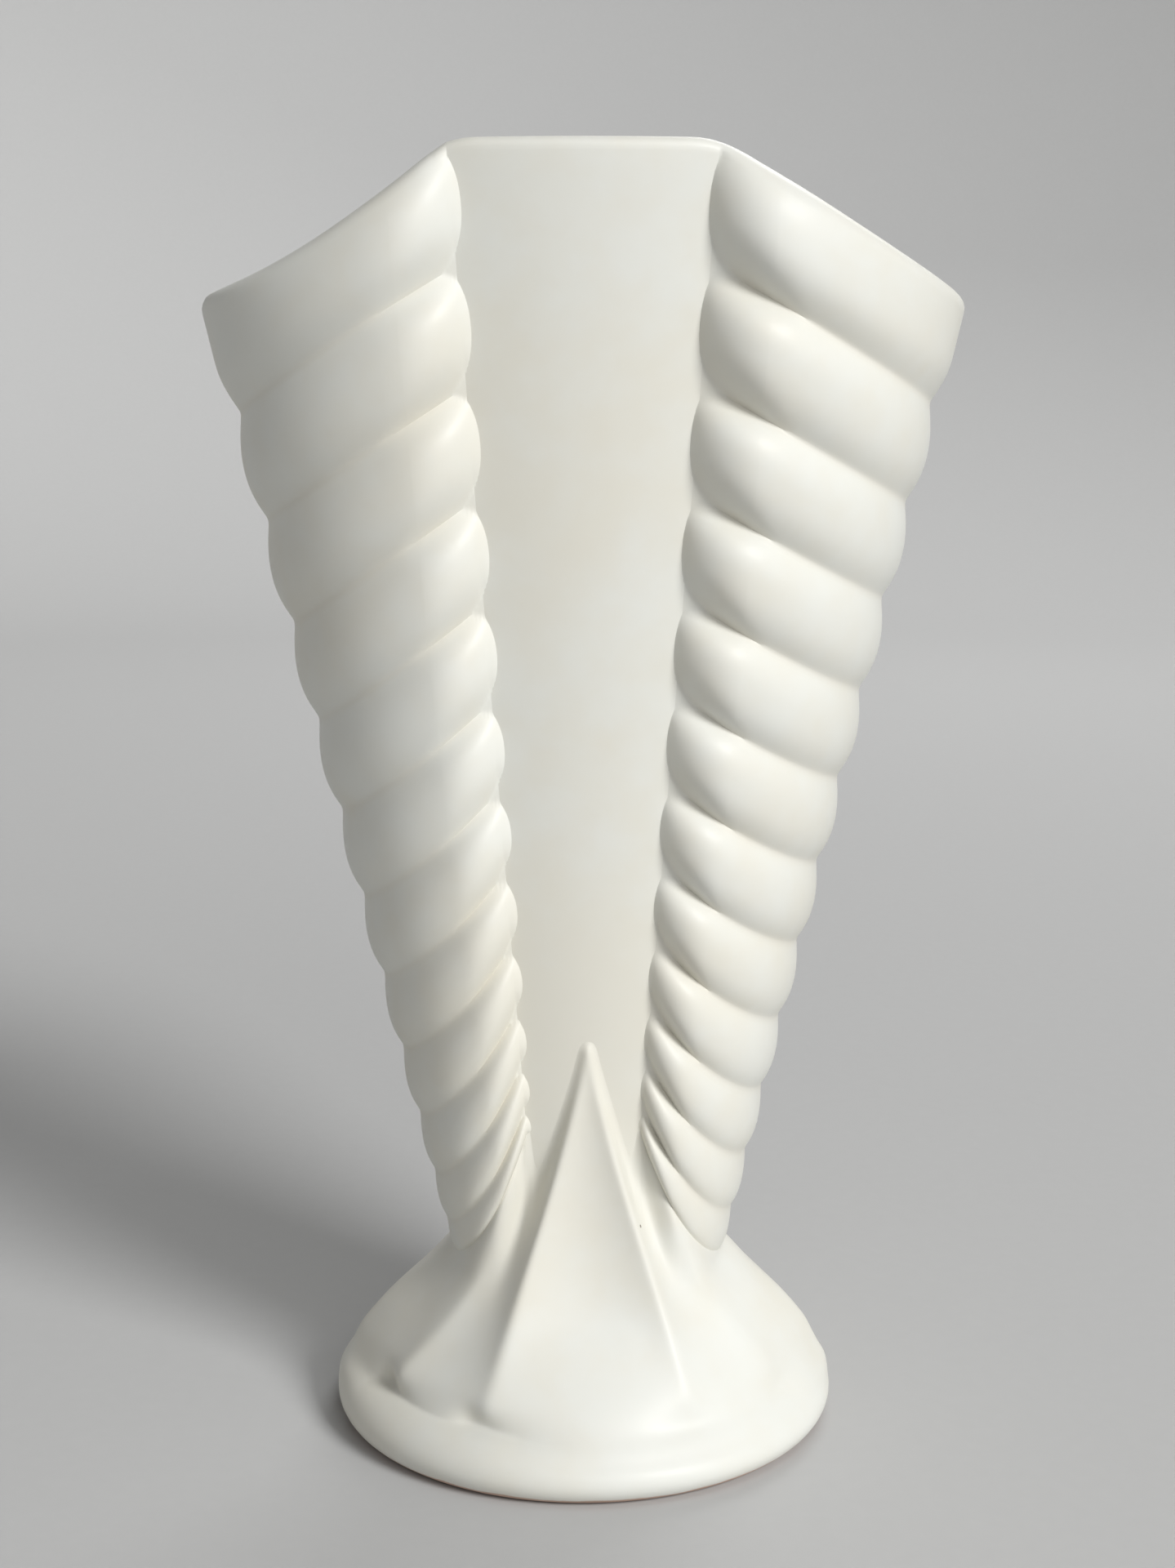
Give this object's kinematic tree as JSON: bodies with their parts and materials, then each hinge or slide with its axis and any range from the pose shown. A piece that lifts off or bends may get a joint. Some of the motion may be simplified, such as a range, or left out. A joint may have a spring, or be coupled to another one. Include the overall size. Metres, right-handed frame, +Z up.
{
  "type": "fan vase",
  "caption": "Ceramic fan vase with plain front and back panels, ribbed side wings and a pleated round pedestal foot; holds cut flowers.",
  "frame": {"origin": "middle of the underside, on the plane the foot stands on", "axes": "+Z up; the front panel faces -Y; the wings point along +X and -X"},
  "size_m": [0.116, 0.081, 0.2],
  "materials": {
    "ivory_glaze": "satin ivory glaze",
    "bare_clay": "unglazed biscuit"
  },
  "bodies": {
    "root": {"front_panel": "ivory_glaze", "back_panel": "ivory_glaze", "left_wing": "ivory_glaze", "right_wing": "ivory_glaze", "vessel_floor": "ivory_glaze", "pedestal_foot": "ivory_glaze", "luting_bed": "bare_clay"}
  },
  "joints": []
}
